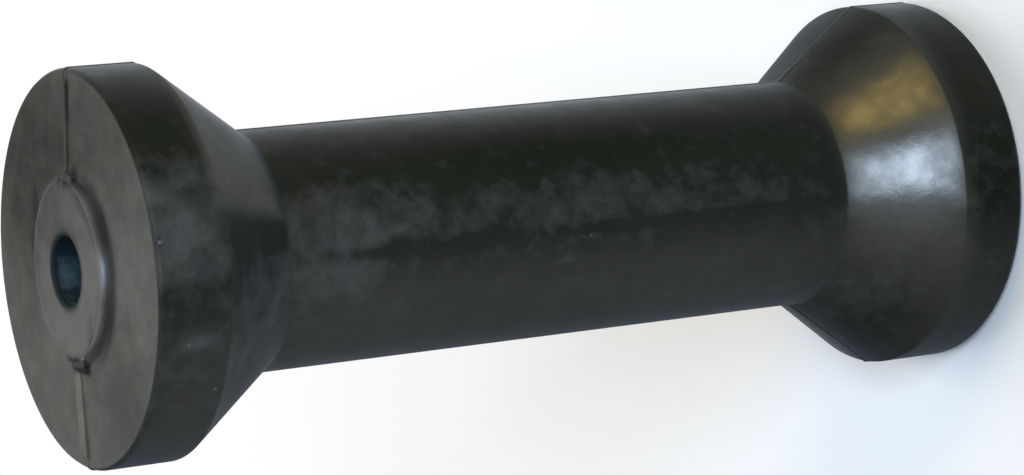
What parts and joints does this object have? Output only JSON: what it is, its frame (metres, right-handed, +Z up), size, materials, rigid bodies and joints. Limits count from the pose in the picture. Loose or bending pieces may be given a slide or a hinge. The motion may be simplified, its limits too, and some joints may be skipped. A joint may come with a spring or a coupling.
{
  "type": "boat trailer keel roller",
  "caption": "Dumbbell-shaped rubber roller with wide flanged ends, tapering to a plain barrel that carries a boat's keel, and a bore for a spindle.",
  "frame": {"origin": "centre of the lower end boss, at floor level, where the roller stands on its end", "axes": "+Z up along the spindle bore; the XZ plane is the mould's parting plane, so the moulding line runs along the +X and -X sides"},
  "size_m": [0.0962, 0.0952, 0.25],
  "materials": {
    "black_rubber": "satin moulded black rubber, weathered grey on the end faces"
  },
  "bodies": {
    "root": {"keel_roller": "black_rubber"}
  },
  "joints": []
}
